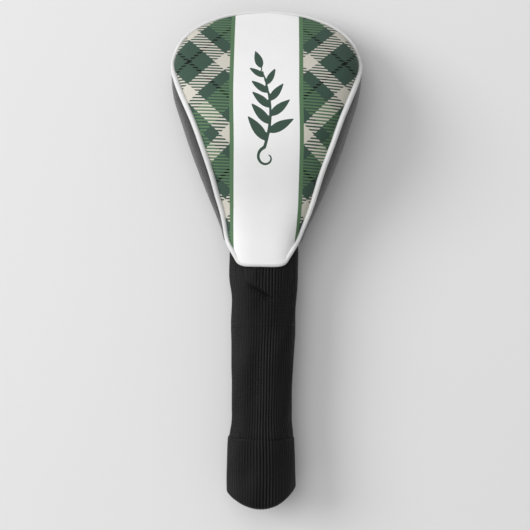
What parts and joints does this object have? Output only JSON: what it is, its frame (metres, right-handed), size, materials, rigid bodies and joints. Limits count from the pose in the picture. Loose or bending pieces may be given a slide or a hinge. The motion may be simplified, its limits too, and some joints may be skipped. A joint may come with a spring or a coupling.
{
  "type": "golf club head cover",
  "caption": "Padded head cover with a printed, piped front panel, a dark gusset and back, and a long rib-knit sock with a turned-up cuff.",
  "frame": {"origin": "centre of the footprint of the cover as it lies on its back, on the surface that it rests on", "axes": "+Y from the cuff's mouth to the toe of the head pocket, +Z out of the printed front panel, X across"},
  "size_m": [0.1277, 0.3276, 0.07],
  "materials": {
    "print": "printed knit face on neoprene",
    "gusset": "dark knit face on neoprene",
    "back": "dark knit face on neoprene",
    "piping": "white coated fabric",
    "cord": "soft filler cord",
    "fleece": "short-pile fleece",
    "label": "blank woven satin",
    "tape": "woven tape",
    "thread": "spun polyester",
    "knit": "rib knit acrylic",
    "elastic": "covered elastic"
  },
  "bodies": {
    "head": {"front_panel": "print", "side_gusset": "gusset", "back_panel": "back", "piping_sleeve": "piping", "piping_cord": "cord", "hem_binding": "piping", "front_lining": "fleece", "back_lining": "fleece", "care_label": "label", "neck_tape": "tape", "neck_thread": "thread", "knit_sock_top": "knit"},
    "sock_middle": {"knit_sock_middle": "knit"},
    "sock_end": {"knit_sock_lower": "knit", "sock_cuff": "knit", "cuff_elastic": "elastic", "cuff_tacks": "thread"}
  },
  "joints": [
    {"name": "sock_bend", "type": "hinge", "parent": "head", "child": "sock_middle", "pos_m": [0, -0.01385, 0.0233], "axis": [-1, 0, 0], "range_deg": [0, 30], "stiffness_Nm_per_rad": 0.03},
    {"name": "sock_sway", "type": "hinge", "parent": "sock_middle", "child": "sock_end", "pos_m": [0, -0.04585, 0.0233], "axis": [0, 0, 1], "range_deg": [-30, 30], "stiffness_Nm_per_rad": 0.03}
  ]
}
